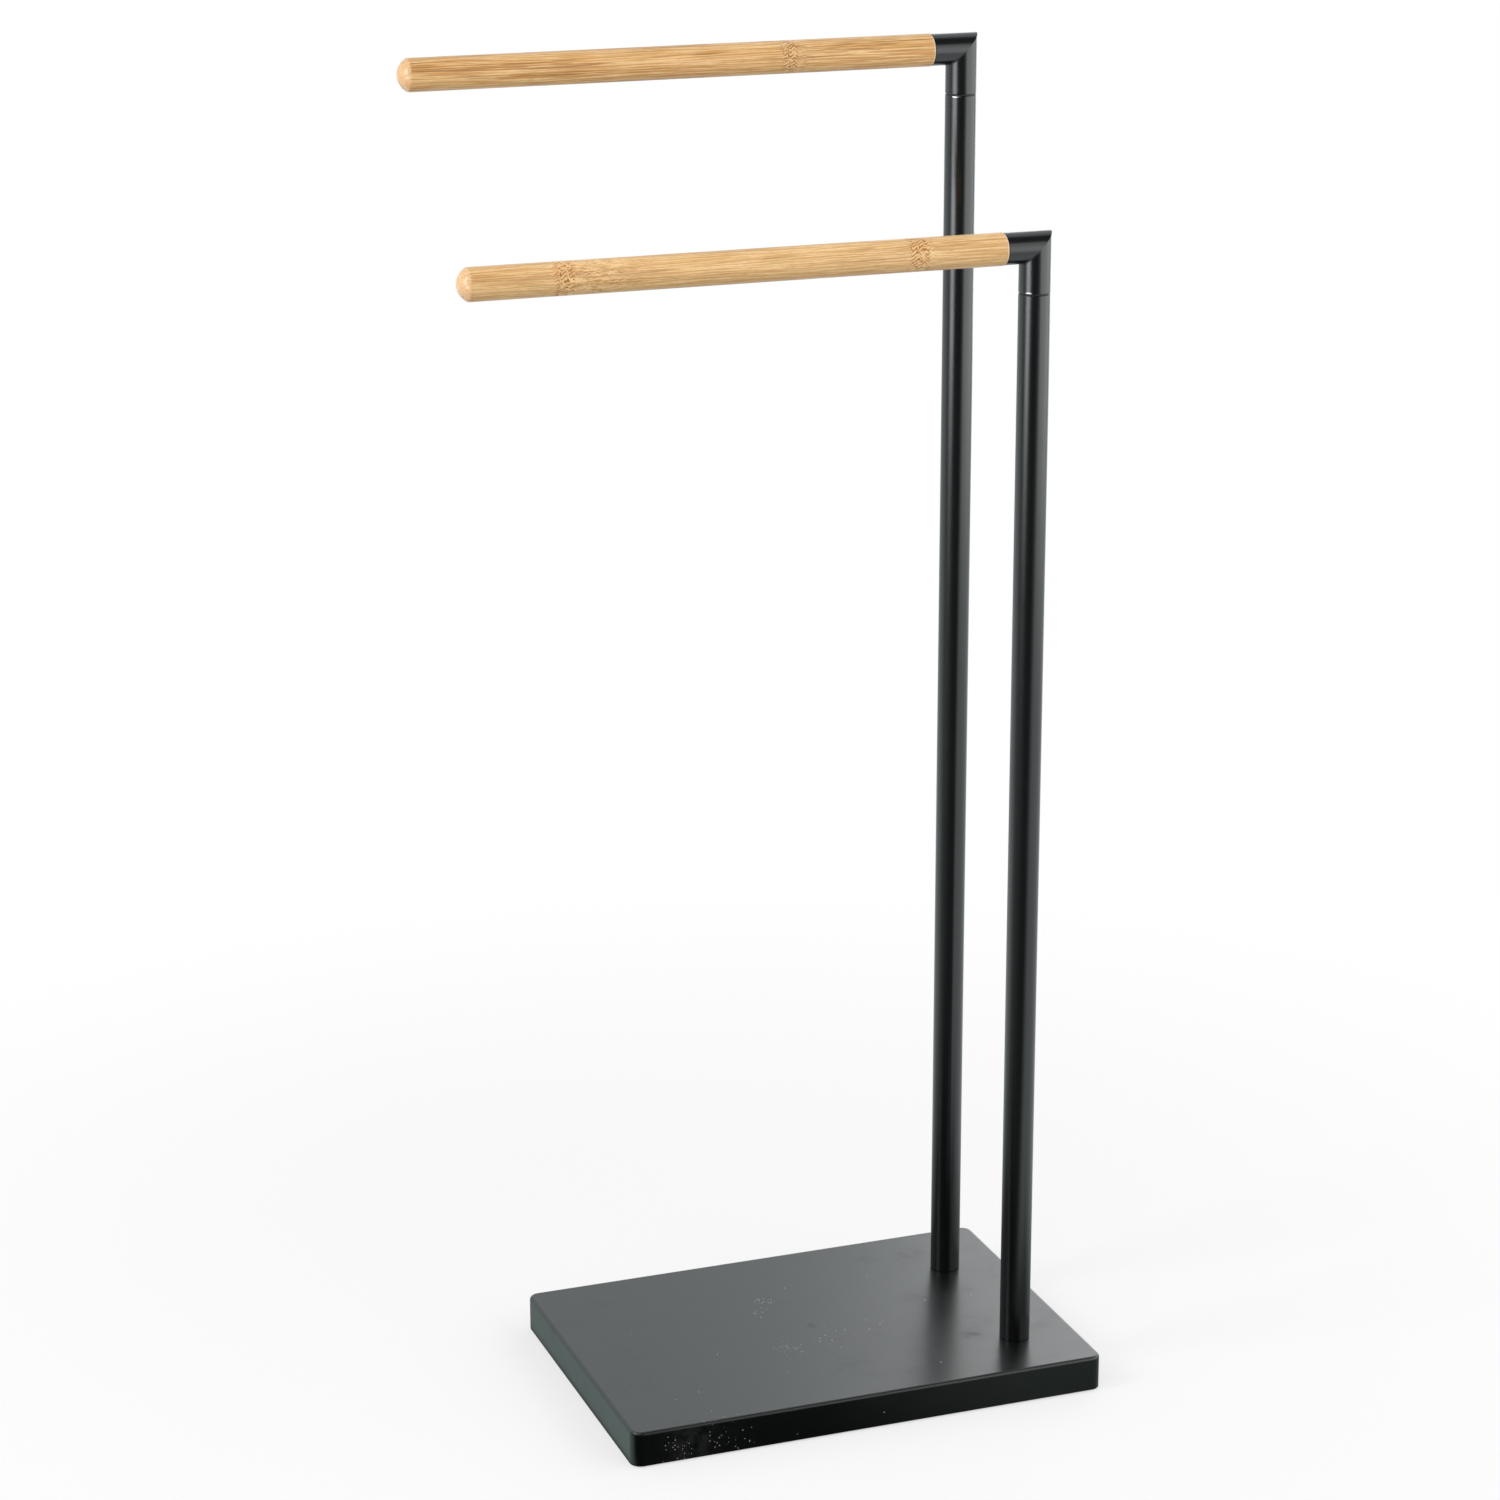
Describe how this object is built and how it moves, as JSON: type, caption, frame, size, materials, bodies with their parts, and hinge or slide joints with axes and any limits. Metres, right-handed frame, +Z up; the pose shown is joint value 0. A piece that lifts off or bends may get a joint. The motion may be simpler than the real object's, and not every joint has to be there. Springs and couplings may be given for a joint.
{
  "type": "freestanding towel stand",
  "caption": "Freestanding towel stand: black steel base and round uprights of unequal height, each with a mitred elbow that swivels and carries a bamboo towel bar.",
  "frame": {"origin": "middle of the base, on the floor", "axes": "+Z up; +X towards the end of the base where the uprights stand, -X along both arms at rest; +Y back, towards the taller upright"},
  "size_m": [0.391, 0.215, 0.8303],
  "materials": {
    "black_steel": "satin black powder coat",
    "bamboo": "turned bamboo, satin clear lacquer",
    "fibreboard": "medium density fibreboard",
    "zinc_steel": "bright zinc plate",
    "black_rubber": "matt foam rubber",
    "black_nylon": "moulded nylon"
  },
  "bodies": {
    "stand": {"base_cover": "black_steel", "core_board": "fibreboard", "reinforcing_plate": "zinc_steel", "plate_screws": "zinc_steel", "base_underlay": "black_rubber", "base_washers": "zinc_steel", "base_lock_washers": "zinc_steel", "base_bolts": "zinc_steel", "rear_upright_tube": "black_steel", "rear_foot_insert": "zinc_steel", "rear_swivel_bush": "zinc_steel", "rear_seam_washer": "black_nylon", "front_upright_tube": "black_steel", "front_foot_insert": "zinc_steel", "front_swivel_bush": "zinc_steel", "front_seam_washer": "black_nylon"},
    "rear_arm": {"rear_elbow_neck": "black_steel", "rear_elbow_arm": "black_steel", "rear_neck_plug": "zinc_steel", "rear_swivel_spindle": "zinc_steel", "rear_cone_washer": "zinc_steel", "rear_swivel_nut": "zinc_steel", "rear_arm_plug": "zinc_steel", "rear_bar_stud": "zinc_steel", "rear_towel_bar": "bamboo"},
    "front_arm": {"front_elbow_neck": "black_steel", "front_elbow_arm": "black_steel", "front_neck_plug": "zinc_steel", "front_swivel_spindle": "zinc_steel", "front_cone_washer": "zinc_steel", "front_swivel_nut": "zinc_steel", "front_arm_plug": "zinc_steel", "front_bar_stud": "zinc_steel", "front_towel_bar": "bamboo"}
  },
  "joints": [
    {"name": "rear_arm_swivel", "type": "hinge", "parent": "stand", "child": "rear_arm", "pos_m": [0.1155, 0.052, 0.7935], "axis": [0, 0, 1], "continuous": true},
    {"name": "front_arm_swivel", "type": "hinge", "parent": "stand", "child": "front_arm", "pos_m": [0.1155, -0.061, 0.6915], "axis": [0, 0, 1], "range_deg": [-79, 259]}
  ]
}
